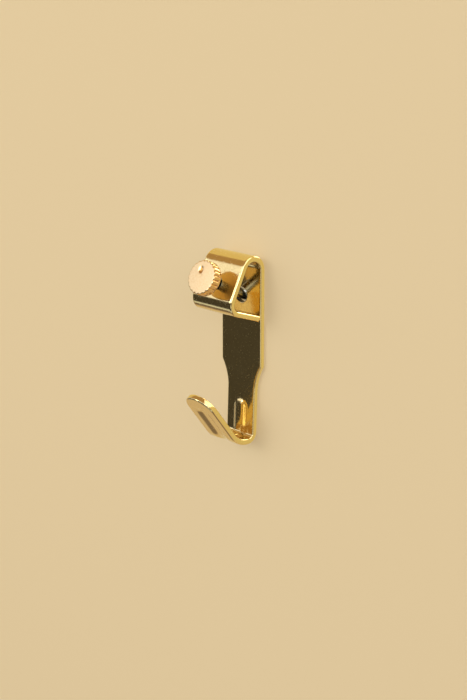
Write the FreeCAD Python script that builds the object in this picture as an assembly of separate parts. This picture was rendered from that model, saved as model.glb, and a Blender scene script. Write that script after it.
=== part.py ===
import FreeCAD, Part
import math
import os
from FreeCAD import Vector

os.makedirs("parts", exist_ok=True)

# One-nail picture hook: a strip folded from one sheet, and the headed steel pin that nails it up.
# X runs across the strip, Y into the wall and Z up. The strip's back lies in the wall plane, Y = 0.
# The origin is the point of the wall plane that the pin's axis passes through.

# Strip: thickness, widths and heights
overall_height = 37.32  # from the bottom of the hook to the top of the loop
loop_top = 8.75  # top of the loop above the origin
sheet = 1.15  # thickness of the metal
rim_round = 0.28  # rounding along the strip's long edges
plate_width = 10.15
shank_width = 7.0
shoulder_rise = 15.27  # where the plate starts to narrow, above the bottom of the hook
shoulder_radius = 10.0  # hollow curve from the plate to the shank
shoulder_corner = 0.8  # small round where plate and hollow curve meet

# Strip: folds, with inner radii
loop_radius = 1.95  # top of the loop
nose_radius = 1.35  # front corner of the loop
heel_radius = 0.9  # bottom of the hook, beside the wall
toe_radius = 4.7  # bottom of the hook, up into the lip
hook_floor = 0.1  # level run between heel and toe
settle_radius = 24.0  # gentle bend between plate and shank
slope_lean = 28.0  # front of the loop, degrees out from the plate
flap_tilt = 19.0  # flap below the loop, degrees up from level, going outward
flap_root = -4.2  # height where the flap's underside would meet the plate
flap_gap = 0.06  # between the flap's cut edge and the plate
shank_rise = 11.07  # where the shank starts to stand off the wall, above the bottom of the hook
shank_lean = 2.2  # degrees that the shank leans off the wall
lip_lean = 38.0  # lip, degrees out from the wall
lip_rise = 11.12  # tip of the lip above the bottom of the hook

# Strip: stiffening bead, raised on the inside and hollow on the outside
bead_width = 3.2
bead_crown = 1.7  # width of its flat top
bead_height = 0.34
bead_rise = 8.27  # its upper end on the shank, above the bottom of the hook
bead_tip_gap = 3.2  # from its other end to the tip of the lip

# Nail
pin_diameter = 1.9
pin_length = 25.0  # from under the head to the point
pin_point = 3.4  # length of the conical point
pin_flat = 0.25  # width of the blunted tip
nail_angle = 25.3  # degrees that the pin runs down into the wall
head_diameter = 6.5
head_height = 1.9
head_standoff = 2.5  # bare pin between the loop and the head
head_bevel = 0.18
head_socket = 1.2  # depth that the pin is pressed into the head
head_collar = 0.45  # plain rim behind the serration
tooth_count = 22
tooth_depth = 0.26
tooth_angle = 92.0  # of the grooves between the teeth, degrees
dent_width = 1.5  # shallow round dent in the head's face
dent_depth = 0.3
dent_side = -0.6  # place of the dent, from the middle of the face
dent_rise = 1.3

# Clearances
hole_clearance = 0.4  # both nail holes, on the diameter
socket_clearance = 0.02  # pressed pin in the head, on the diameter
same_place = 1e-6  # points closer than this are one

# Heights from the origin that follow from these
hook_bottom = loop_top - overall_height
shoulder_height = hook_bottom + shoulder_rise
shank_height = hook_bottom + shank_rise
bead_top = hook_bottom + bead_rise


def spot(out, up, side=0.0):
    # A point from its distance off the wall, its height and its place across the strip
    return Vector(side, -out, up)


def heading(lean):
    # Upward direction in the middle plane that leans off the wall by so many degrees
    return spot(math.sin(math.radians(lean)), math.cos(math.radians(lean)))


def inside(way):
    # Square to a run in the middle plane, on the side that the strip folds toward
    return Vector(1, 0, 0).cross(way)


def crossing(point_a, way_a, point_b, way_b):
    # Where two lines of the middle plane meet
    normal = inside(way_b)
    reach = (point_b - point_a).dot(normal) / way_a.dot(normal)
    return point_a + way_a * reach


# Outer skin of the strip in the middle plane: each run is a point and a direction
plate_way = heading(0)
shank_way = heading(-shank_lean)
lip_way = heading(lip_lean)
slope_way = heading(-slope_lean) * -1
flap_way = heading(90 - flap_tilt) * -1
pin_way = heading(90 - nail_angle)

shank_start = spot(0, shank_height)
slope_in = inside(slope_way)
flap_in = inside(flap_way)
shank_in = inside(shank_way)
lip_in = inside(lip_way * -1)

loop_outer = loop_radius + sheet
loop_centre = spot(loop_outer, loop_top - loop_outer)
slope_point = loop_centre - slope_in * loop_outer
flap_point = spot(sheet, flap_root)

level = spot(1, 0)
heel_reach = (heel_radius + sheet) * math.tan(math.radians(90 - shank_lean) / 2)
toe_reach = (toe_radius + sheet) * math.tan(math.radians(90 - lip_lean) / 2)
heel_corner = crossing(shank_start, shank_way, spot(0, hook_bottom), level)
toe_corner = heel_corner + level * (heel_reach + hook_floor + toe_reach)
lip_tip = crossing(toe_corner, lip_way, spot(0, hook_bottom + lip_rise), level)
flap_stop = sheet + flap_gap + sheet * math.sin(math.radians(flap_tilt))
flap_end = crossing(flap_point, flap_way, spot(flap_stop, 0), spot(0, 1))
corners = [
    lip_tip,
    toe_corner,
    heel_corner,
    shank_start,
    crossing(slope_point, slope_way, spot(0, 0), plate_way),
    crossing(slope_point, slope_way, flap_point, flap_way),
    flap_end,
]
inner_radii = [toe_radius, heel_radius, settle_radius, loop_radius, nose_radius]


def fold(before, corner, after, inner):
    # One bend of the outer skin: its centre, where it starts, where it ends and its inner radius
    way_in = (corner - before).normalize()
    way_out = (after - corner).normalize()
    half_turn = way_in.getAngle(way_out) / 2
    reach = (inner + sheet) * math.tan(half_turn)
    inward = (way_out - way_in).normalize()
    centre = corner + inward * ((inner + sheet) / math.cos(half_turn))
    return centre, corner - way_in * reach, corner + way_out * reach, inner


bends = [fold(*run) for run in zip(corners, corners[1:], corners[2:], inner_radii)]


def sunk(bend, depth):
    # Start, middle and end of a bend on the skin that lies so deep under the outer one
    centre, start, end, inner = bend
    radius = inner + sheet - depth
    first = (start - centre).normalize()
    last = (end - centre).normalize()
    middle = (first + last).normalize()
    return centre + first * radius, centre + middle * radius, centre + last * radius


def skin(depth, last_point):
    # The strip's skin at one depth, from the foot of the lip to the flap's cut edge
    edges = []
    here = None
    for bend in bends:
        start, middle, end = sunk(bend, depth)
        if here:
            edges.append(Part.makeLine(here, start))
        edges.append(Part.Arc(start, middle, end).toShape())
        here = end
    edges.append(Part.makeLine(here, last_point))
    return edges


def folded_body():
    # Plate, loop, shank and hook bend: the side profile across, trimmed to the strip's front outline
    flap_upper = flap_end + flap_in * sheet
    outer = skin(0, flap_end)
    inner = skin(sheet, flap_upper)
    caps = [
        Part.makeLine(sunk(bends[0], 0)[0], sunk(bends[0], sheet)[0]),
        Part.makeLine(flap_end, flap_upper),
    ]
    profile = Part.Face(Part.Wire(Part.__sortEdges__(outer + inner + caps)))
    profile.translate(Vector(-plate_width, 0, 0))
    blank = profile.extrude(Vector(2 * plate_width, 0, 0))

    half_plate = plate_width / 2
    half_shank = shank_width / 2
    step = half_plate - half_shank
    hollow = math.sqrt(shoulder_radius ** 2 - (shoulder_radius - step) ** 2)
    lean = math.asin(hollow / shoulder_radius)
    high = loop_top + sheet
    low = hook_bottom - sheet
    edges = []
    for side in (-1, 1):
        corner = spot(0, shoulder_height, side * half_plate)
        hollow_centre = spot(0, shoulder_height - hollow, side * (half_shank + shoulder_radius))
        hollow_end = spot(0, shoulder_height - hollow, side * half_shank)
        half_way = Vector(-side * math.cos(lean / 2), 0, math.sin(lean / 2)) * shoulder_radius
        side_line = Part.makeLine(spot(0, high, side * half_plate), corner)
        curve = Part.Arc(corner, hollow_centre + half_way, hollow_end).toShape()
        edges += [side_line, curve]
        edges.append(Part.makeLine(hollow_end, spot(0, low, side * half_shank)))
    edges.append(Part.makeLine(spot(0, high, -half_plate), spot(0, high, half_plate)))
    edges.append(Part.makeLine(spot(0, low, -half_shank), spot(0, low, half_shank)))
    front = Part.Face(Part.Wire(Part.__sortEdges__(edges)))
    depth = lip_tip.y - sheet
    front.translate(Vector(0, -depth, 0))
    body = blank.common(front.extrude(Vector(0, 2 * depth, 0)))

    corners_of_plate = [
        edge for edge in body.Edges
        if all(abs(vertex.Z - shoulder_height) < same_place for vertex in edge.Vertexes)
        and abs(edge.CenterOfMass.x) > half_shank
        and edge.BoundBox.XLength < same_place
    ]
    return body.makeFillet(shoulder_corner, corners_of_plate)


def tongue():
    # Flat lip with a full-round tip, from the hook bend to the tip
    root = sunk(bends[0], 0)[0]
    half = Vector(shank_width / 2, 0, 0)
    round_start = lip_tip - lip_way * (shank_width / 2)
    edges = [
        Part.makeLine(root - half, round_start - half),
        Part.Arc(round_start - half, lip_tip, round_start + half).toShape(),
        Part.makeLine(round_start + half, root + half),
        Part.makeLine(root + half, root - half),
    ]
    return Part.Face(Part.Wire(edges)).extrude(lip_in * sheet)


def is_skin(face):
    # Skins and bends never slope across the strip; the rims around them do
    u0, u1, v0, v1 = face.ParameterRange
    steps = [k / 4 for k in range(5)]
    tilts = [abs(face.normalAt(u0 + (u1 - u0) * a, v0 + (v1 - v0) * b).x) for a in steps for b in steps]
    return max(tilts) < 1e-3


def rounded_rims(body):
    # Rolled edges between the skins and the rims; the flap's cut edge stays square
    cut_edge = flap_end + flap_in * (sheet / 2)
    edges = []
    for edge in body.Edges:
        faces = body.ancestorsOfType(edge, Part.Face)
        skins = [face for face in faces if is_skin(face)]
        at_cut = any((face.CenterOfMass - cut_edge).Length < sheet / 4 for face in skins)
        if len(faces) == 2 and len(skins) == 1 and not at_cut:
            edges.append(edge)
    return body.makeFillet(min(rim_round, 0.45 * sheet), edges)


def bead(depth):
    # Flat-topped ridge that follows the skin at one depth from the shank through the bend to the lip
    # Its foot is sunk a little under that skin, so that it joins or opens it cleanly
    sunk_foot = sheet / 4
    flank = (bead_width - bead_crown) / 2 / bead_height
    base = bead_width / 2 + flank * sunk_foot
    section = [(-base, -sunk_foot), (-bead_crown / 2, bead_height)]
    section += [(-x, n) for x, n in reversed(section)]

    def cut(point, inward):
        ring = [point + Vector(x, 0, 0) + inward * n for x, n in section]
        return Part.Face(Part.makePolygon(ring + ring[:1]))

    def end_cone(point, inward):
        foot = point - inward * sunk_foot
        return Part.makeCone(base, bead_crown / 2, bead_height + sunk_foot, foot, inward)

    lip_stop = lip_tip + lip_in * depth - lip_way * (bead_tip_gap + bead_width / 2)
    shank_line = shank_start + shank_in * depth
    shank_stop = crossing(shank_line, shank_way, spot(0, bead_top - bead_width / 2), level)
    pieces = [end_cone(lip_stop, lip_in), end_cone(shank_stop, shank_in)]
    here = lip_stop
    inward = lip_in
    for bend in bends[:2]:
        centre = bend[0]
        start, middle, end = sunk(bend, depth)
        turn = math.degrees((start - centre).getAngle(end - centre))
        pieces.append(cut(here, inward).extrude(start - here))
        pieces.append(cut(start, inward).revolve(centre, Vector(1, 0, 0), turn))
        here = end
        inward = (centre - end).normalize()
    pieces.append(cut(here, inward).extrude(shank_stop - here))
    return pieces[0].fuse(pieces[1:]).removeSplitter()


def slanted_hole(angle):
    # Diameter that lets the pin through the sheet at so many degrees off square
    tilt = math.radians(abs(angle))
    return (pin_diameter + sheet * math.sin(tilt)) / math.cos(tilt) + hole_clearance


def nail_hole(skin_point, inward, angle):
    # Round hole square to the sheet, centred on the pin's axis in the middle of the sheet
    centre = crossing(spot(0, 0), pin_way, skin_point + inward * (sheet / 2), inside(inward))
    return Part.makeCylinder(slanted_hole(angle) / 2, 2 * sheet, centre - inward * sheet, inward)


def hook_strip():
    strip = rounded_rims(folded_body().fuse(tongue()).removeSplitter())
    strip = strip.fuse(bead(sheet)).cut(bead(0))
    plate_hole = nail_hole(spot(0, 0), spot(1, 0), nail_angle)
    slope_hole = nail_hole(slope_point, slope_in, slope_lean - nail_angle)
    return strip.cut([plate_hole, slope_hole])


# The head's underside stands off the loop, along the pin
slope_entry = crossing(spot(0, 0), pin_way, slope_point, slope_way)
head_under = slope_entry + pin_way * head_standoff


def along_pin(shape):
    # Takes a piece made upright at the origin to the head's underside, with its +Z along the pin
    turn = FreeCAD.Rotation(Vector(0, 0, 1), pin_way)
    shape.Placement = FreeCAD.Placement(head_under, turn)
    return shape


def revolved(points):
    # Solid of revolution about Z from radius and height pairs
    ring = [Vector(radius, 0, height) for radius, height in points]
    return Part.Face(Part.makePolygon(ring + ring[:1])).revolve(Vector(0, 0, 0), Vector(0, 0, 1), 360)


def nail_pin():
    radius = pin_diameter / 2
    bottom = -pin_length
    shoulder = pin_point - pin_length
    outline = [
        (0, bottom), (pin_flat / 2, bottom), (radius, shoulder), (radius, head_socket), (0, head_socket),
    ]
    return along_pin(revolved(outline))


def nail_head():
    # Turned disc with a socket for the pin, straight grooves round its rim down to a plain collar,
    # and a dent in its face
    radius = head_diameter / 2
    root = radius - tooth_depth
    socket = (pin_diameter + socket_clearance) / 2
    floor = head_socket + socket_clearance / 2
    outline = [
        (socket, 0), (radius - head_bevel, 0), (radius, head_bevel), (radius, head_height - head_bevel),
        (radius - head_bevel, head_height), (0, head_height), (0, floor), (socket, floor),
    ]
    disc = revolved(outline)
    half_gap = tooth_depth * math.tan(math.radians(tooth_angle / 2))
    ring = [Vector(root, 0, head_collar), Vector(root + 2 * tooth_depth, 2 * half_gap, head_collar)]
    ring.append(Vector(root + 2 * tooth_depth, -2 * half_gap, head_collar))
    groove = Part.Face(Part.makePolygon(ring + ring[:1])).extrude(Vector(0, 0, head_height))
    grooves = []
    for tooth in range(tooth_count):
        copy = groove.copy()
        copy.rotate(Vector(0, 0, 0), Vector(0, 0, 1), 360 / tooth_count * tooth)
        grooves.append(copy)
    ball = (dent_width ** 2 / 4 + dent_depth ** 2) / (2 * dent_depth)
    dent = Part.makeSphere(ball, Vector(dent_side, dent_rise, head_height + ball - dent_depth))
    return along_pin(disc.cut(grooves + [dent]))


for name, make in (("hook_strip", hook_strip), ("nail_pin", nail_pin), ("nail_head", nail_head)):
    solid = make()
    solid.exportStep("parts/" + name + ".step")
    print(name, solid.isValid(), len(solid.Solids), round(solid.Volume, 2), solid.BoundBox)
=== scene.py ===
import math

import bmesh
import bpy
import numpy as np
from mathutils import Matrix, Vector


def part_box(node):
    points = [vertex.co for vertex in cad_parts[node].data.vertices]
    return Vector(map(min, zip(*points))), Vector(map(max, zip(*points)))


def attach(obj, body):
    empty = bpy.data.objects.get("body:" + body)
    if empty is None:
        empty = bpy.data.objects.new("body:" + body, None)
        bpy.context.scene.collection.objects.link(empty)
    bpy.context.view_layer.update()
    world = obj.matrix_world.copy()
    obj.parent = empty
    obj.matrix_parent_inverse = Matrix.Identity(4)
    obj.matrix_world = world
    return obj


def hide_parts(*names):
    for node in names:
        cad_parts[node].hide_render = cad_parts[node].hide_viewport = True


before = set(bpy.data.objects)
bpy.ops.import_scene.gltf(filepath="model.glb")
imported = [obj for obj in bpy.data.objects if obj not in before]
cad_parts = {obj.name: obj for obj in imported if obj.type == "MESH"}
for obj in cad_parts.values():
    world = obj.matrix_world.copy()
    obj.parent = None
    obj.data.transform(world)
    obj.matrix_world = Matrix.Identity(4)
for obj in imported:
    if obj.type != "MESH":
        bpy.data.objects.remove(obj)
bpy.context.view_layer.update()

mm = 0.001
weldDistance = 0.0005 * mm  # points closer than this become one
crispAngle = 38  # degrees, edges past this stay sharp
scene = bpy.context.scene


def linear(code):  # sRGB hex to linear RGBA
    parts = [int(code[i:i + 2], 16) / 255 for i in (1, 3, 5)]
    return tuple(c / 12.92 if c < 0.04045 else ((c + 0.055) / 1.055) ** 2.4 for c in parts) + (1.0,)


def addNode(tree, kind, inputs=None, **settings):  # inputs hold plain values or sockets to link from
    node = tree.nodes.new(kind)
    for name, value in settings.items():
        setattr(node, name, value)
    for name, value in (inputs or {}).items():
        if isinstance(value, bpy.types.NodeSocket):
            tree.links.new(value, node.inputs[name])
        else:
            node.inputs[name].default_value = value
    return node


def bareMaterial(name):
    material = bpy.data.materials.new(name)
    material.use_nodes = True
    material.node_tree.nodes.clear()
    return material, material.node_tree


def newMaterial(name):
    material, tree = bareMaterial(name)
    shader = addNode(tree, "ShaderNodeBsdfPrincipled")
    addNode(tree, "ShaderNodeOutputMaterial", {"Surface": shader.outputs[0]})
    return material, tree, shader


def perMm(size):  # texture scale that gives features of this many millimetres on metre coordinates
    return 1 / (size * mm)


def toMesh(bm, name):
    mesh = bpy.data.meshes.new(name)
    bm.to_mesh(mesh)
    bm.free()
    return mesh


def newPiece(name, mesh, material, node):  # a finished mesh that stands for one CAD node
    mesh.materials.clear()
    mesh.materials.append(material)
    mesh.shade_smooth()
    mesh.set_sharp_from_angle(angle=math.radians(crispAngle))
    piece = bpy.data.objects.new(name, mesh)
    scene.collection.objects.link(piece)
    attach(piece, "root")
    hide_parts(node)
    print("piece", name, len(mesh.polygons), "faces")
    return piece


# Electroplated brass over pressed steel: a near mirror, pale warm yellow, whose reflections swim a little
# on the orange peel of the plating. Hairlines and specks from handling show where it mirrors the dark.
# The walls of the punched holes are painted dull and dark, as painted shade for the dark inside of the
# holes
plating = {
    "light": "#F2DB9C",
    "deep": "#EACF8A",
    "mottle": 6,  # mm, drift between the two
    "polish": 0.07,  # roughness of the clean metal
    "scuffed": 0.4,  # roughness in a hairline or speck
    "peel": 1.6,  # mm, swell of the surface
    "peelRelief": 0.14,
    "peelHeight": 0.03 * mm,
    "hairline": 0.16,  # mm, wider than the real ones, so that they show
    "hairlineStretch": 22,
    "hairlineTurns": (14, -38, 66, -74),  # degrees
    "hairlineCut": (0.74, 0.94),  # levels of the noise between which a mark fades in
    "speck": 0.3,  # mm
    "speckCut": (0.42, 0.71),
    "speckDepth": 0.62,  # against a hairline
    "markRelief": 0.03,
    "markDepth": 0.01 * mm,
    # painted shade: dark colour for the walls of the nail holes
    "paintedHoleShade": "#4A4238",
}


def brassPlating():
    p = plating
    material, tree, shader = newMaterial("polished brass plating")
    coords = addNode(tree, "ShaderNodeTexCoord").outputs["Object"]
    tone = addNode(tree, "ShaderNodeTexNoise", {
        "Vector": coords, "Scale": perMm(p["mottle"]), "Detail": 3.0})
    colour = addNode(tree, "ShaderNodeMix", {
        "Factor": tone.outputs["Fac"], "A": linear(p["light"]), "B": linear(p["deep"])}, data_type="RGBA")
    # mask of the nail holes' walls, where the painted shade goes; they are made duller there too
    holeShadeMask = addNode(tree, "ShaderNodeAttribute", attribute_name="paintedHoleShade").outputs["Fac"]
    metal = addNode(tree, "ShaderNodeMix", {
        "Factor": holeShadeMask, "A": colour.outputs["Result"], "B": linear(p["paintedHoleShade"])}, data_type="RGBA")
    shader.inputs["Metallic"].default_value = 1.0
    tree.links.new(metal.outputs["Result"], shader.inputs["Base Color"])

    speck = addNode(tree, "ShaderNodeTexNoise", {
        "Vector": coords, "Scale": perMm(p["speck"]), "Detail": 2.0})
    low, high = p["speckCut"]
    marks = addNode(tree, "ShaderNodeMapRange", {
        "Value": speck.outputs["Fac"], "From Min": low, "From Max": high,
        "To Max": p["speckDepth"]}).outputs["Result"]
    low, high = p["hairlineCut"]
    for turn in p["hairlineTurns"]:
        drawn = addNode(tree, "ShaderNodeMapping", {
            "Vector": coords, "Rotation": (0, math.radians(turn), 0),
            "Scale": (1, 1, p["hairlineStretch"])}, vector_type="TEXTURE")
        fine = addNode(tree, "ShaderNodeTexNoise", {
            "Vector": drawn.outputs[0], "Scale": perMm(p["hairline"]), "Detail": 0.0, "Distortion": 0.6})
        line = addNode(tree, "ShaderNodeMapRange", {
            "Value": fine.outputs["Fac"], "From Min": low, "From Max": high})
        marks = addNode(tree, "ShaderNodeMath", {
            0: marks, 1: line.outputs["Result"]}, operation="MAXIMUM").outputs[0]
    marks = addNode(tree, "ShaderNodeMath", {0: marks, 1: holeShadeMask}, operation="MAXIMUM").outputs[0]
    rough = addNode(tree, "ShaderNodeMapRange", {
        "Value": marks, "To Min": p["polish"], "To Max": p["scuffed"]})
    tree.links.new(rough.outputs["Result"], shader.inputs["Roughness"])

    peel = addNode(tree, "ShaderNodeTexNoise", {"Vector": coords, "Scale": perMm(p["peel"]), "Detail": 1.0})
    peelBump = addNode(tree, "ShaderNodeBump", {
        "Height": peel.outputs["Fac"], "Strength": p["peelRelief"], "Distance": p["peelHeight"]})
    markBump = addNode(tree, "ShaderNodeBump", {
        "Height": marks, "Strength": p["markRelief"], "Distance": p["markDepth"],
        "Normal": peelBump.outputs[0]}, invert=True)
    tree.links.new(markBump.outputs[0], shader.inputs["Normal"])
    return material


# Strip: one folded sheet. It is laid out flat, then every point is carried round the folds
stripLow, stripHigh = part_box("hook_strip")
strip = {
    "sheet": 1.15 * mm,
    "rimRound": 0.28 * mm,
    "slopeRound": 0.42 * mm,  # edges that the shears rolled over: outside of the slope, inside of the flap
    "flapRound": 0.55 * mm,
    "plateHalf": stripHigh.x,
    "shankHalf": 3.5 * mm,
    "shoulderHeight": -13.3 * mm,  # where the plate starts to narrow
    "shoulderRadius": 10.0 * mm,
    "shoulderCorner": 0.8 * mm,
    "loopTop": stripHigh.z,
    "hookBottom": stripLow.z,
    "innerRadii": [4.7 * mm, 0.9 * mm, 24.0 * mm, 1.95 * mm, 1.35 * mm],  # toe, heel, settle, loop, nose
    "hookFloor": 0.1 * mm,  # level run between heel and toe
    "shankHeight": -17.5 * mm,
    "shankLean": 2.2,  # degrees, as the other leans and tilts
    "lipLean": 38.0,
    "lipRise": 11.119 * mm,
    "slopeLean": 28.0,
    "flapTilt": 19.0,
    "flapRoot": -4.2 * mm,
    "flapGap": 0.06 * mm,
    "beadWidth": 3.2 * mm,
    "beadCrown": 1.7 * mm,
    "beadHeight": 0.38 * mm,
    "beadSoft": 0.45,  # share of the flank that is rounded, at foot and crown
    "hollowSoft": 0.5,  # the same on the outer skin
    "beadTop": -20.3 * mm,
    "beadTipGap": 3.2 * mm,
    "holeClearance": 0.4 * mm,
    "holeRound": 0.13 * mm,  # rolled edge of the punched holes
    "rowSpacing": 0.4 * mm,
    "rowGap": 0.1 * mm,  # no other row comes closer to the shoulder
    "bendStep": 3.0,  # degrees
    "columns": 22,
    "edgeColumn": 0.985,  # last one before the rim, as a share of the flat half width
    "rimSteps": 5,
}
nail = {
    "angle": 25.3,  # degrees down into the wall
    "pinRadius": 0.95 * mm,
    "pinLength": 25.0 * mm,
    "pinPoint": 3.4 * mm,
    "pinFlat": 0.125 * mm,
    "standoff": 2.5 * mm,  # bare pin between loop and head
    "headRadius": 3.25 * mm,
    "headHeight": 1.9 * mm,
    "headBevel": 0.18 * mm,
    "headSocket": 1.2 * mm,
    "headCollar": 0.45 * mm,
    "socketGap": 0.01 * mm,
    "teeth": 22,
    "toothDepth": 0.22 * mm,
    "toothAngle": 92.0,  # degrees between a groove's walls
    "toothWeld": 0.002 * mm,
    "grooveRound": 0.03 * mm,
    "scallop": 0.8,  # share of the face's radius where the teeth begin to show in it
    "collarStep": 0.04 * mm,
    "headDome": 0.05 * mm,
    "faceSlack": 0.01 * mm,  # what is this near to an end counts as its face
    "dents": [  # a shiny dent above the middle of the face, and the small mark left by the lathe's centre
        {"at": (-0.6 * mm, 1.3 * mm), "reach": (0.8 * mm, 1.05 * mm), "depth": 0.13 * mm,
         "wall": 0.8, "bright": 1.8},  # bright takes the satin off, and past 1 paints in a deeper gold, as painted reflection of light bounced in the dent
        {"at": (-0.2 * mm, 0.25 * mm), "reach": (0.3 * mm, 0.36 * mm), "depth": 0.05 * mm,
         "wall": 1.0, "bright": 0.3},
    ],
    "sides": 64,
}


def leaning(degrees):  # upward direction, out from the wall by so many degrees, as (out, up)
    return Vector((math.sin(math.radians(degrees)), math.cos(math.radians(degrees))))


def inward(way):  # square to a run, on the side that the strip folds to
    return Vector((way.y, -way.x))


def meet(pointA, wayA, pointB, wayB):
    across = inward(wayB)
    return pointA + wayA * ((pointB - pointA).dot(across) / wayA.dot(across))


def inSpace(side, flat):  # (out, up) at a place across the strip, in the row frame
    return Vector((side, -flat.x, flat.y))


pinWay = leaning(90 - nail["angle"])


def foldRuns():  # straight runs and bends of the outer skin, from the tip of the lip to the flap's cut edge
    s = strip
    sheet = s["sheet"]
    level = Vector((1, 0))
    lipWay = leaning(s["lipLean"])
    shankWay = leaning(-s["shankLean"])
    slopeWay = -leaning(-s["slopeLean"])
    flapWay = leaning(270 - s["flapTilt"])
    toe, heel, _, loop, _ = s["innerRadii"]
    shankStart = Vector((0, s["shankHeight"]))
    heelCorner = meet(shankStart, shankWay, Vector((0, s["hookBottom"])), level)
    heelReach = (heel + sheet) * math.tan(math.radians(90 - s["shankLean"]) / 2)
    toeReach = (toe + sheet) * math.tan(math.radians(90 - s["lipLean"]) / 2)
    toeCorner = heelCorner + level * (heelReach + s["hookFloor"] + toeReach)
    lipTip = meet(toeCorner, lipWay, Vector((0, s["hookBottom"] + s["lipRise"])), level)
    loopCentre = Vector((loop + sheet, s["loopTop"] - loop - sheet))
    slopePoint = loopCentre - inward(slopeWay) * (loop + sheet)
    flapPoint = Vector((sheet, s["flapRoot"]))
    flapStop = sheet + s["flapGap"] + sheet * math.sin(math.radians(s["flapTilt"]))
    corners = [
        lipTip, toeCorner, heelCorner, shankStart,
        meet(slopePoint, slopeWay, Vector((0, 0)), Vector((0, 1))),
        meet(slopePoint, slopeWay, flapPoint, flapWay),
        meet(flapPoint, flapWay, Vector((flapStop, 0)), Vector((0, 1))),
    ]
    runs = []
    here, length = lipTip, 0.0
    for before, corner, after, inner in zip(corners, corners[1:], corners[2:], s["innerRadii"]):
        wayIn, wayOut = (corner - before).normalized(), (after - corner).normalized()
        turn = wayIn.angle(wayOut)
        radius = inner + sheet
        start = corner - wayIn * (radius * math.tan(turn / 2))
        straight = (start - here).length
        runs.append({"at": length, "length": straight, "point": here, "way": wayIn})
        length += straight
        runs.append({"at": length, "length": radius * turn, "centre": start + inward(wayIn) * radius,
                     "way": wayIn, "radius": radius})
        length += radius * turn
        here = corner + wayOut * (radius * math.tan(turn / 2))
    runs.append({"at": length, "length": (corners[-1] - here).length, "point": here,
                 "way": (corners[-1] - here).normalized()})
    return runs, slopePoint, slopeWay


runs, slopePoint, slopeWay = foldRuns()
stripLength = runs[-1]["at"] + runs[-1]["length"]


def skinAt(along):  # point of the outer skin and the direction through the sheet
    run = next((r for r in runs if along <= r["at"] + r["length"]), runs[-1])
    step = along - run["at"]
    if "radius" not in run:
        return run["point"] + run["way"] * step, inward(run["way"])
    turned = Matrix.Rotation(-step / run["radius"], 2) @ inward(run["way"])
    return run["centre"] - turned * run["radius"], turned


shank, _, plate = runs[4:7]
upright = np.linspace(shank["at"], plate["at"] + plate["length"], 400)  # places to look heights up in
uprightHeights = [skinAt(a)[0].y for a in upright]


def alongAt(height):  # place along the strip of a height on shank or plate
    return float(np.interp(height, uprightHeights, upright))


def outlineRows():  # (along, half width, outline normal, along of the row's middle), from tip to cut edge
    s = strip
    half, wide = s["shankHalf"], s["plateHalf"]
    rows = []
    tipSteps = 24
    for k in range(tipSteps):
        turn = math.pi / 2 * (1 - k / tipSteps)
        rows.append((half - half * math.sin(turn), half * math.cos(turn),
                     (math.sin(turn), -math.cos(turn)), half))

    # hollow shoulder, and the small round where it meets the plate
    hollowRise = math.sqrt(s["shoulderRadius"] ** 2 - (s["shoulderRadius"] - (wide - half)) ** 2)
    hollowHeight = s["shoulderHeight"] - hollowRise
    hollowSide = half + s["shoulderRadius"]
    cornerSide = wide - s["shoulderCorner"]
    apart = hollowSide - cornerSide
    cornerRise = math.sqrt((s["shoulderRadius"] + s["shoulderCorner"]) ** 2 - apart ** 2)
    lean = math.atan2(cornerRise, apart)
    shoulder = []
    hollowSteps, cornerSteps = 14, 6
    for k in range(hollowSteps + 1):
        a = lean * k / hollowSteps
        shoulder.append((hollowHeight + s["shoulderRadius"] * math.sin(a),
                         hollowSide - s["shoulderRadius"] * math.cos(a), (math.sin(a), -math.cos(a))))
    for k in range(1, cornerSteps + 1):
        a = lean * (1 - k / cornerSteps)
        shoulder.append((hollowHeight + cornerRise - s["shoulderCorner"] * math.sin(a),
                         cornerSide + s["shoulderCorner"] * math.cos(a), (math.sin(a), -math.cos(a))))
    low, high = alongAt(shoulder[0][0]), alongAt(shoulder[-1][0])

    places = []
    for run in runs:
        if "radius" in run:
            count = max(4, math.ceil(math.degrees(run["length"] / run["radius"]) / s["bendStep"]))
        else:
            count = max(2, math.ceil(run["length"] / s["rowSpacing"]))
        places += [run["at"] + run["length"] * k / count for k in range(count)]
    places.append(stripLength)
    for a in places:
        if half <= a < low - s["rowGap"]:
            rows.append((a, half, (0, -1), a))
    for height, side, normal in shoulder:
        rows.append((alongAt(height), side, normal, alongAt(height)))
    for a in places:
        if a > high + s["rowGap"]:
            rows.append((a, wide, (0, -1), a))
    return rows


beadStart = strip["beadTipGap"] + strip["beadWidth"] / 2
beadEnd = alongAt(strip["beadTop"] - strip["beadWidth"] / 2)


def beadLift(along, side, depth):  # how far the pressed bead pushes the sheet inward
    past = max(beadStart - along, along - beadEnd, 0.0)
    off = math.hypot(past, side)
    rise = (strip["beadWidth"] / 2 - off) / ((strip["beadWidth"] - strip["beadCrown"]) / 2)
    soft = strip["hollowSoft"] + (strip["beadSoft"] - strip["hollowSoft"]) * depth / strip["sheet"]
    foot = min(2 * soft, max(0.0, rise + soft))
    crown = min(2 * soft, max(0.0, rise - 1 + soft))
    straight = min(1 - soft, max(soft, rise)) - soft
    return strip["beadHeight"] * (foot * foot / (4 * soft) + straight + crown - crown * crown / (4 * soft))


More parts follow.
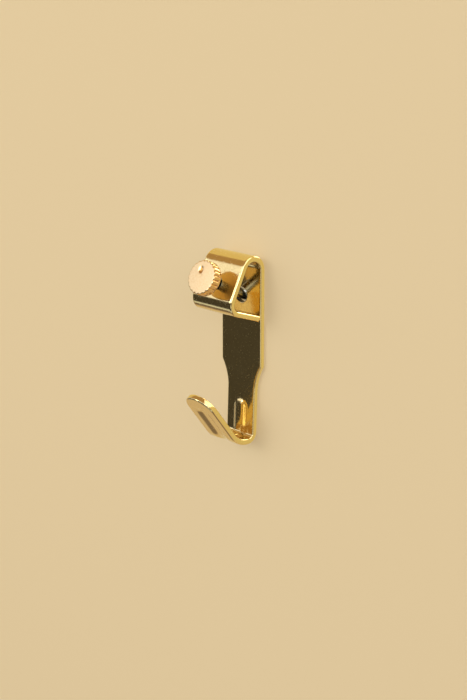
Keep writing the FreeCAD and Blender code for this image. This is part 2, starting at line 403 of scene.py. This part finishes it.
def stripMesh():
    s = strip
    sheet, roll = s["sheet"], s["rimRound"]
    loop, slope, nose, flap = runs[-4:]
    shares = [k / s["columns"] for k in range(s["columns"])] + [s["edgeColumn"]]
    arc = [math.pi / 2 * (1 - k / s["rimSteps"]) for k in range(s["rimSteps"] + 1)]
    bm = bmesh.new()
    rings = []
    for along, side, normal, middle in outlineRows():
        def place(back):  # a point this far inside the outline
            return along + normal[0] * back, side + normal[1] * back

        def skinRow(radius):  # half a row, from the middle of a skin to the rim
            foot = place(radius)
            row = [(middle + (foot[0] - middle) * share, foot[1] * share, 0.0) for share in shares]
            return row + [place(radius * (1 - math.cos(a))) + (radius * (1 - math.sin(a)),) for a in arc]

        inner = skinRow(np.interp(along, [nose["at"], flap["at"]], [roll, s["flapRound"]]))
        outer = skinRow(np.interp(along, [loop["at"], slope["at"], nose["at"], flap["at"]],
                                  [roll, s["slopeRound"], s["slopeRound"], roll]))
        half = [(a, x, sheet - drop) for a, x, drop in inner]
        half += [(a, x, drop) for a, x, drop in reversed(outer)]
        ring = half + [(a, -x, depth) for a, x, depth in reversed(half[1:-1])]
        points = []
        for a, x, depth in ring:
            skin, through = skinAt(a)
            points.append(bm.verts.new(inSpace(x, skin + through * (depth + beadLift(a, x, depth)))))
        rings.append(points)
    count = len(rings[0])
    for lower, upper in zip(rings, rings[1:]):
        for k in range(count):
            bm.faces.new((lower[k], lower[(k + 1) % count], upper[(k + 1) % count], upper[k]))
    last = rings[-1]  # the flap's cut edge, closed from skin to skin
    pairs = [(last[-k], last[count // 2 + k]) for k in range(count // 4, 0, -1)]
    pairs += [(last[k], last[count // 2 - k]) for k in range(count // 4 + 1)]
    for (a, b), (c, d) in zip(pairs, pairs[1:]):
        if len({a, b, c, d}) == 4:
            bm.faces.new((a, b, d, c))
    bmesh.ops.remove_doubles(bm, verts=bm.verts, dist=weldDistance)
    bmesh.ops.recalc_face_normals(bm, faces=bm.faces)
    return toMesh(bm, "hookStrip")


def lathe(bm, profile, place, sides):  # closed round body from (radius, height) pairs, ends on the axis
    rings = []
    for radius, height in profile:
        if radius == 0:
            rings.append([bm.verts.new(place @ Vector((0, 0, height)))] * sides)
            continue
        turns = [2 * math.pi * k / sides for k in range(sides)]
        rings.append([bm.verts.new(place @ Vector((radius * math.cos(t), radius * math.sin(t), height)))
                      for t in turns])
    for lower, upper in zip(rings, rings[1:]):
        for k in range(sides):
            corners = [lower[k], lower[(k + 1) % sides], upper[(k + 1) % sides], upper[k]]
            bm.faces.new(list(dict.fromkeys(corners)))


def placed(point, way):  # turns +Z of a piece to a direction and moves it to a point
    return Matrix.Translation(point) @ Vector((0, 0, 1)).rotation_difference(way).to_matrix().to_4x4()


def nailHoles():  # middle, axis and radius of the hole in the plate and of the one in the slope
    s = strip
    holes = []
    for skin, way, tilt in [(Vector((0, 0)), Vector((0, 1)), nail["angle"]),
                            (slopePoint, slopeWay, s["slopeLean"] - nail["angle"])]:
        through = inward(way)
        middle = meet(Vector((0, 0)), pinWay, skin + through * s["sheet"] / 2, way)
        tilt = math.radians(abs(tilt))
        wide = (2 * nail["pinRadius"] + s["sheet"] * math.sin(tilt)) / math.cos(tilt) + s["holeClearance"]
        holes.append((inSpace(0, middle), inSpace(0, through), wide / 2))
    return holes


def holeCutter():  # two spools whose flared ends roll the edges of the nail holes
    half, roll = strip["sheet"] / 2, strip["holeRound"]
    flareTurn, flareSteps = 65, 5  # degrees
    past = 0.2 * mm  # how far the spool stands out of the sheet
    bm = bmesh.new()
    for middle, axis, bore in nailHoles():
        flare = []
        for k in range(flareSteps + 1):
            a = math.radians(flareTurn * k / flareSteps)
            flare.append((bore + roll * (1 - math.cos(a)), half - roll + roll * math.sin(a)))
        flare.append((flare[-1][0] + past * math.tan(math.radians(flareTurn)), flare[-1][1] + past))
        end = flare[-1][1]
        profile = [(0, -end)] + [(r, -h) for r, h in reversed(flare)] + flare + [(0, end)]
        lathe(bm, profile, placed(middle, axis), nail["sides"])
    bmesh.ops.recalc_face_normals(bm, faces=bm.faces)
    return toMesh(bm, "holeCutter")


def cutHoles(mesh):
    blank = bpy.data.objects.new("blank", mesh)
    cutter = bpy.data.objects.new("cutter", holeCutter())
    scene.collection.objects.link(blank)
    scene.collection.objects.link(cutter)
    cut = blank.modifiers.new("nail holes", "BOOLEAN")
    cut.operation, cut.solver, cut.object = "DIFFERENCE", "EXACT", cutter
    depsgraph = bpy.context.evaluated_depsgraph_get()
    result = bpy.data.meshes.new_from_object(blank.evaluated_get(depsgraph))
    bpy.data.objects.remove(blank)
    bpy.data.objects.remove(cutter)
    # marks the hole walls and their rolled edges, which get the painted shade
    holeShadeMark = result.attributes.new("paintedHoleShade", "FLOAT", "POINT")
    holes = nailHoles()
    rolled = 0.3 * strip["holeRound"]  # start of the rolled edge, which gets the painted shade too
    for vertex in result.vertices:
        for middle, axis, bore in holes:
            off = vertex.co - middle
            depth = off.dot(axis)
            if abs(depth) < strip["sheet"] and (off - axis * depth).length < bore + rolled:
                holeShadeMark.data[vertex.index].value = 1.0
    return result


newPiece("hookStrip", cutHoles(stripMesh()), brassPlating(), "hook_strip")


# Drawn steel wire, left dark grey by hardening: satin, with fine drawing lines along its length
steel = {
    "dark": "#7A7B7C",
    "light": "#909292",
    "rough": (0.18, 0.36),
    "line": 0.15,  # mm, wider than the real ones, so that they show
    "lineStretch": 20,
    "lineRelief": 0.2,
    "lineDepth": 0.02 * mm,
}


def drawnSteel():
    p = steel
    material, tree, shader = newMaterial("drawn hardened steel")
    coords = addNode(tree, "ShaderNodeTexCoord").outputs["Object"]
    turned = addNode(tree, "ShaderNodeMapping", {
        "Vector": coords, "Rotation": (-math.radians(90 - nail["angle"]), 0, 0)})
    drawn = addNode(tree, "ShaderNodeMapping", {
        "Vector": turned.outputs[0], "Scale": (1, 1, 1 / p["lineStretch"])})
    lines = addNode(tree, "ShaderNodeTexNoise", {
        "Vector": drawn.outputs[0], "Scale": perMm(p["line"]), "Detail": 3.0})
    colour = addNode(tree, "ShaderNodeMix", {
        "Factor": lines.outputs["Fac"], "A": linear(p["dark"]), "B": linear(p["light"])}, data_type="RGBA")
    tree.links.new(colour.outputs["Result"], shader.inputs["Base Color"])
    rough = addNode(tree, "ShaderNodeMapRange", {
        "Value": lines.outputs["Fac"], "To Min": p["rough"][0], "To Max": p["rough"][1]})
    tree.links.new(rough.outputs["Result"], shader.inputs["Roughness"])
    bump = addNode(tree, "ShaderNodeBump", {
        "Height": lines.outputs["Fac"], "Strength": p["lineRelief"], "Distance": p["lineDepth"]})
    tree.links.new(bump.outputs[0], shader.inputs["Normal"])
    shader.inputs["Metallic"].default_value = 1.0
    return material


# The head's underside stands off the loop, along the pin
slopeEntry = meet(Vector((0, 0)), pinWay, slopePoint, slopeWay)
nailPlace = placed(inSpace(0, slopeEntry + pinWay * nail["standoff"]), inSpace(0, pinWay))


def pinMesh():
    n = nail
    soft = 0.06 * mm  # rounding of the blunt tip, and a third of the one where the point starts
    tip = -n["pinLength"]
    tipFlat = n["pinFlat"] * 0.7  # inside the rounding
    slope = (n["pinRadius"] - n["pinFlat"]) / n["pinPoint"]
    ease = 3 * soft
    profile = [(0, tip), (tipFlat, tip), (n["pinFlat"] + slope * soft, tip + soft)]
    profile += [(n["pinRadius"] - slope * ease, tip + n["pinPoint"] - ease)]
    profile += [(n["pinRadius"], tip + n["pinPoint"] + ease)]
    profile += [(n["pinRadius"], n["headSocket"]), (0, n["headSocket"])]
    bm = bmesh.new()
    lathe(bm, profile, nailPlace, n["sides"])
    bmesh.ops.recalc_face_normals(bm, faces=bm.faces)
    return toMesh(bm, "nailPin")


newPiece("nailPin", pinMesh(), drawnSteel(), "nail_pin")


# Turned brass: the tool left the end face pale and satin, with a fine grain. The pressed teeth are bright,
# and the dent is painted a deeper gold, a painted reflection of light bounced round inside it
brass = {
    "rimLight": "#EBC58A",
    "rimDeep": "#DDB273",
    "faceLight": "#FBE6BA",
    "faceDeep": "#E8C78E",
    # painted reflection: deeper gold for light bounced round inside the dent
    "dent": "#DDA24A",
    "rimRough": 0.18,
    "faceRough": 0.5,
    "grain": 0.25,  # mm
    "grainRelief": 0.25,
    "grainDepth": 0.02 * mm,
}


def turnedBrass():
    p = brass
    material, tree, shader = newMaterial("turned brass")
    coords = addNode(tree, "ShaderNodeTexCoord").outputs["Object"]
    face = addNode(tree, "ShaderNodeAttribute", attribute_name="endFace").outputs["Fac"]
    grain = addNode(tree, "ShaderNodeTexNoise", {
        "Vector": coords, "Scale": perMm(p["grain"]), "Detail": 3.0})
    rim = addNode(tree, "ShaderNodeMix", {
        "Factor": grain.outputs["Fac"], "A": linear(p["rimLight"]),
        "B": linear(p["rimDeep"])}, data_type="RGBA")
    dull = addNode(tree, "ShaderNodeMix", {
        "Factor": grain.outputs["Fac"], "A": linear(p["faceLight"]),
        "B": linear(p["faceDeep"])}, data_type="RGBA")
    colour = addNode(tree, "ShaderNodeMix", {
        "Factor": face, "A": rim.outputs["Result"], "B": dull.outputs["Result"]}, data_type="RGBA")
    # below 0 the face value paints the dent's deeper gold, as painted reflection
    sunk = addNode(tree, "ShaderNodeMath", {0: face, 1: -1.0}, operation="MULTIPLY")
    paintedDentGold = addNode(tree, "ShaderNodeMix", {
        "Factor": sunk.outputs[0], "A": colour.outputs["Result"], "B": linear(p["dent"])}, data_type="RGBA")
    tree.links.new(paintedDentGold.outputs["Result"], shader.inputs["Base Color"])
    rough = addNode(tree, "ShaderNodeMapRange", {
        "Value": face, "To Min": p["rimRough"], "To Max": p["faceRough"]})
    tree.links.new(rough.outputs["Result"], shader.inputs["Roughness"])
    bump = addNode(tree, "ShaderNodeBump", {
        "Height": grain.outputs["Fac"], "Strength": p["grainRelief"], "Distance": p["grainDepth"]})
    tree.links.new(bump.outputs[0], shader.inputs["Normal"])
    shader.inputs["Metallic"].default_value = 1.0
    return material


def headSector():  # one tooth of the head, groove to groove, from the middle of its face to the socket
    n = nail
    pitch = 2 * math.pi / n["teeth"]
    grooveSlope = 1 / math.tan(math.radians(n["toothAngle"] / 2))
    bevel, top = n["headBevel"], n["headHeight"]
    rimRadius = n["headRadius"] - n["toothDepth"] - bevel
    steps, faceSteps, bevelSteps = 10, 24, 4
    bm = bmesh.new()
    columns = []
    for k in range(steps + 1):
        turn = pitch * k / steps
        away = n["headRadius"] * min(turn, pitch - turn)
        groove = max(0.0, n["toothDepth"] - math.hypot(away, n["grooveRound"]) * grooveSlope)
        edge = n["headRadius"] - groove
        profile = []
        for i in range(faceSteps + 1):
            share = i / faceSteps
            scallop = max(0.0, (share - n["scallop"]) / (1 - n["scallop"])) ** 2
            radius = share * (rimRadius + scallop * (edge - bevel - rimRadius))
            profile.append((radius, top - n["headDome"] * share * share))
        lift = profile[-1][1]
        for i in range(1, bevelSteps + 1):
            a = math.pi / 2 * i / bevelSteps
            profile.append((edge - bevel * (1 - math.sin(a)), lift - bevel * (1 - math.cos(a))))
        profile.append((edge, n["headCollar"] + n["collarStep"] / 2))
        profile.append((n["headRadius"], n["headCollar"] - n["collarStep"] / 2))
        for i in range(bevelSteps + 1):
            a = math.pi / 2 * i / bevelSteps
            profile.append((n["headRadius"] - bevel * (1 - math.cos(a)), bevel * (1 - math.sin(a))))
        socket = n["pinRadius"] + n["socketGap"]
        floor = n["headSocket"] + n["socketGap"]
        profile += [(socket, 0.0), (socket, floor), (0.0, floor)]
        columns.append([bm.verts.new((r * math.cos(turn), r * math.sin(turn), z)) for r, z in profile])
    for left, right in zip(columns, columns[1:]):
        for k in range(len(left) - 1):
            bm.faces.new((left[k], left[k + 1], right[k + 1], right[k]))
    bmesh.ops.remove_doubles(bm, verts=bm.verts, dist=weldDistance)
    return toMesh(bm, "headSector")


def toothRing(material):  # node tree that sets one sector round the axis and joins the copies
    tree = bpy.data.node_groups.new("tooth ring", "GeometryNodeTree")
    face = tree.interface
    face.new_socket("Geometry", in_out="INPUT", socket_type="NodeSocketGeometry")
    count = face.new_socket("Tooth Count", in_out="INPUT", socket_type="NodeSocketInt")
    weld = face.new_socket("Weld Distance", in_out="INPUT", socket_type="NodeSocketFloat")
    finish = face.new_socket("Finish", in_out="INPUT", socket_type="NodeSocketMaterial")
    face.new_socket("Geometry", in_out="OUTPUT", socket_type="NodeSocketGeometry")
    start = addNode(tree, "NodeGroupInput").outputs
    pitch = addNode(tree, "ShaderNodeMath", {0: 2 * math.pi, 1: start["Tooth Count"]}, operation="DIVIDE")
    index = addNode(tree, "GeometryNodeInputIndex")
    turn = addNode(tree, "ShaderNodeMath", {0: index.outputs[0], 1: pitch.outputs[0]}, operation="MULTIPLY")
    euler = addNode(tree, "ShaderNodeCombineXYZ", {"Z": turn.outputs[0]})
    points = addNode(tree, "GeometryNodePoints", {"Count": start["Tooth Count"]})
    ring = addNode(tree, "GeometryNodeInstanceOnPoints", {
        "Points": points.outputs[0], "Instance": start["Geometry"], "Rotation": euler.outputs[0]})
    real = addNode(tree, "GeometryNodeRealizeInstances", {"Geometry": ring.outputs[0]})
    joined = addNode(tree, "GeometryNodeMergeByDistance", {
        "Geometry": real.outputs[0], "Distance": start["Weld Distance"]})
    done = addNode(tree, "GeometryNodeSetMaterial", {
        "Geometry": joined.outputs[0], "Material": start["Finish"]})
    addNode(tree, "NodeGroupOutput", {"Geometry": done.outputs[0]})
    return tree, {count.identifier: nail["teeth"], weld.identifier: nail["toothWeld"],
                  finish.identifier: material}


def headMesh(material):
    n = nail
    maker = bpy.data.objects.new("headMaker", headSector())
    scene.collection.objects.link(maker)
    tree, values = toothRing(material)
    ring = maker.modifiers.new("tooth ring", "NODES")
    ring.node_group = tree
    for name, value in values.items():
        ring[name] = value
    depsgraph = bpy.context.evaluated_depsgraph_get()
    mesh = bpy.data.meshes.new_from_object(maker.evaluated_get(depsgraph))
    maker.modifiers.remove(ring)
    bpy.data.objects.remove(maker)

    faceLow = n["headHeight"] - n["headDome"] - n["faceSlack"]
    endFace = mesh.attributes.new("endFace", "FLOAT", "POINT")
    for vertex in mesh.vertices:
        x, y, z = vertex.co
        satin = 1.0 if z > faceLow or z < n["faceSlack"] else 0.0
        if z > faceLow:
            for dent in n["dents"]:
                (midX, midY), (reachX, reachY) = dent["at"], dent["reach"]
                off = math.hypot((x - midX) / reachX, (y - midY) / reachY)
                fall = min(1.0, max(0.0, (1 - off) / dent["wall"]))
                fall = fall * fall * (3 - 2 * fall)  # eased at both ends
                vertex.co.z -= dent["depth"] * fall
                # past 1, bright takes the value below 0, which paints the dent's deeper gold as painted
                # reflection
                satin -= dent["bright"] * fall
        endFace.data[vertex.index].value = satin
    bm = bmesh.new()
    bm.from_mesh(mesh)
    bm.transform(nailPlace)
    bmesh.ops.recalc_face_normals(bm, faces=bm.faces)
    bm.to_mesh(mesh)
    bm.free()
    return mesh


headFinish = turnedBrass()
newPiece("nailHead", headMesh(headFinish), headFinish, "nail_head")


# Pale wall behind the hook. Only the camera sees it, and only from the front, so the back stays open
wall = {
    "size": 600 * mm,
    "behind": 0.05 * mm,
    "colour": "#DCC79C",
    "plain": "#D8BF93",
    "evenness": 0.5,  # share of the tone that stays in the shadow
}


def paleWall():
    material, tree = bareMaterial("pale wall")
    lit = addNode(tree, "ShaderNodeBsdfDiffuse", {"Color": linear(wall["colour"])})
    plain = addNode(tree, "ShaderNodeEmission", {"Color": linear(wall["plain"])})
    paint = addNode(tree, "ShaderNodeMixShader", {
        0: wall["evenness"], 1: lit.outputs[0], 2: plain.outputs[0]})
    clear = addNode(tree, "ShaderNodeBsdfTransparent")
    side = addNode(tree, "ShaderNodeNewGeometry").outputs["Backfacing"]
    both = addNode(tree, "ShaderNodeMixShader", {0: side, 1: paint.outputs[0], 2: clear.outputs[0]})
    addNode(tree, "ShaderNodeOutputMaterial", {"Surface": both.outputs[0]})
    half, back = wall["size"] / 2, wall["behind"]
    mesh = bpy.data.meshes.new("wall")
    corners = [(-half, back, -half), (half, back, -half), (half, back, half), (-half, back, half)]
    mesh.from_pydata(corners, [], [(0, 1, 2, 3)])
    mesh.materials.append(material)
    plane = bpy.data.objects.new("wall", mesh)
    plane.visible_glossy = plane.visible_transmission = False
    plane.visible_diffuse = plane.visible_shadow = False
    scene.collection.objects.link(plane)
    print("wall", wall["size"], "m")


paleWall()


# Camera where the photograph was taken from
shot = {
    "turn": 44.228,  # degrees
    "lift": 16.863,
    "distance": 273.28 * mm,
    "aim": Vector((1.07, -4.29, -9.79)) * mm,
    "lens": 74.63,
    "sensor": 36,
    "clip": (0.01, 10),  # m
}


def placeCamera():
    turn, lift = math.radians(shot["turn"]), math.radians(shot["lift"])
    back = Vector((math.sin(turn) * math.cos(lift), -math.cos(turn) * math.cos(lift), math.sin(lift)))
    data = bpy.data.cameras.new("camera")
    data.lens, data.sensor_width = shot["lens"], shot["sensor"]
    data.clip_start, data.clip_end = shot["clip"]
    camera = bpy.data.objects.new("camera", data)
    camera.location = shot["aim"] + back * shot["distance"]
    camera.rotation_euler = (math.pi / 2 - lift, 0, turn)
    scene.collection.objects.link(camera)
    scene.camera = camera
    print("camera", tuple(camera.location))


placeCamera()


# Soft studio: a tent stands round the hook, with strips of light and shade along the hook's width, and
# polished metal shows them as bands. The camera looks through it at the plain backdrop
room = {
    "backdrop": "#EADFC9",
    "tent": 4.0,  # m, so far off that the bands don't shift along the hook
    "ring": [  # degrees from the wall up over the top and down the front, colour, level
        (-180, "#FFF3E3", 0.062), (-133, "#FFF3E3", 0.062),  # dim front, low
        (-126, "#F0F6FF", 0.85), (-118, "#F0F6FF", 0.85),
        (-112, "#FFE4D4", 0.18), (-92, "#FFE4D4", 0.26),
        (-84, "#FFE4BE", 0.68), (-50, "#FFEABC", 0.7), (-23, "#FFEFB8", 0.75),  # the wall's tone
        (25, "#FFE7AA", 0.83), (60, "#FFE7AA", 0.8), (92, "#FFE7AA", 0.82),
        (95, "#FFD198", 0.45), (135, "#FFD198", 0.45),  # brown band overhead
        (142, "#EDEEFF", 1.4), (165, "#EDEEFF", 1.4),  # main strip of light, high in front
        (170, "#FFF3E3", 0.08), (180, "#FFF3E3", 0.062),
    ],
}
lights = [
    {"name": "key", "from": (-0.27, -0.89, 0.37), "far": 0.6, "size": 0.25, "watts": 0.85,
     "colour": "#FFFFFF", "mirrored": True},
    {"name": "fill", "from": (-0.45, -0.85, 0.25), "far": 0.8, "size": 1.4, "watts": 5.0,
     "colour": "#FFFFFF", "mirrored": False},
    {"name": "upper right", "from": (0.72, 0.12, 0.68), "far": 0.6, "size": 0.62, "watts": 1.4,
     "colour": "#E4EEFF", "mirrored": True},
    {"name": "right", "from": (0.74, -0.5, 0.42), "far": 0.6, "size": 0.3, "watts": 0.65,
     "colour": "#E4EEFF", "mirrored": True},
    {"name": "low right", "from": (0.7, -0.68, -0.26), "far": 0.6, "size": 0.3, "watts": 0.25,
     "colour": "#FFFFFF", "mirrored": True},
    {"name": "card", "from": (-0.683, -0.52, 0.513), "far": 0.0191, "size": 0.006, "watts": 0.00008,
     "colour": "#C4DCFF", "mirrored": True},  # small, beside the loop, for its inside
    {"name": "edge", "from": (0.2, 0.88, 0.42), "far": 0.6, "size": 0.3, "watts": 0.95,
     "colour": "#FFFFFF", "mirrored": True},
]


def facing(direction, far):  # place on a sphere round the hook, turned to it
    way = Vector(direction).normalized()
    return way * far, way.to_track_quat("Z", "Y").to_euler()


def lightTent():
    material, tree = bareMaterial("light tent")
    coords = addNode(tree, "ShaderNodeTexCoord").outputs["Object"]
    way = addNode(tree, "ShaderNodeSeparateXYZ", {0: coords})
    across = addNode(tree, "ShaderNodeCombineXYZ", {"X": way.outputs["Y"], "Y": way.outputs["Z"]})
    turn = addNode(tree, "ShaderNodeTexGradient", {"Vector": across.outputs[0]}, gradient_type="RADIAL")
    ring = addNode(tree, "ShaderNodeValToRGB", {"Fac": turn.outputs["Fac"]})
    stops = ring.color_ramp.elements
    for degrees, _, _ in room["ring"][1:-1]:  # the ramp already has its two ends
        stops.new((degrees + 180) / 360)
    for stop, (_, colour, level) in zip(stops, room["ring"]):
        stop.color = [channel * level for channel in linear(colour)[:3]] + [1.0]
    glow = addNode(tree, "ShaderNodeEmission", {"Color": ring.outputs["Color"]})
    addNode(tree, "ShaderNodeOutputMaterial", {"Surface": glow.outputs[0]})
    bm = bmesh.new()
    bmesh.ops.create_icosphere(bm, subdivisions=4, radius=room["tent"])
    mesh = toMesh(bm, "lightTent")
    mesh.materials.append(material)
    tent = bpy.data.objects.new("lightTent", mesh)
    tent.visible_camera = False
    scene.collection.objects.link(tent)


def studio():
    world = bpy.data.worlds.new("backdrop")
    scene.world = world
    world.use_nodes = True
    world.node_tree.nodes["Background"].inputs["Color"].default_value = linear(room["backdrop"])
    lightTent()
    for light in lights:
        data = bpy.data.lights.new(light["name"], "AREA")
        data.shape, data.size, data.energy = "DISK", light["size"], light["watts"]
        data.color = linear(light["colour"])[:3]
        lamp = bpy.data.objects.new(light["name"], data)
        lamp.location, lamp.rotation_euler = facing(light["from"], light["far"])
        lamp.visible_camera, lamp.visible_glossy = False, light["mirrored"]
        scene.collection.objects.link(lamp)
    print("studio", len(room["ring"]), "bands", len(lights), "lamps")


studio()
scene.view_settings.view_transform = "Standard"
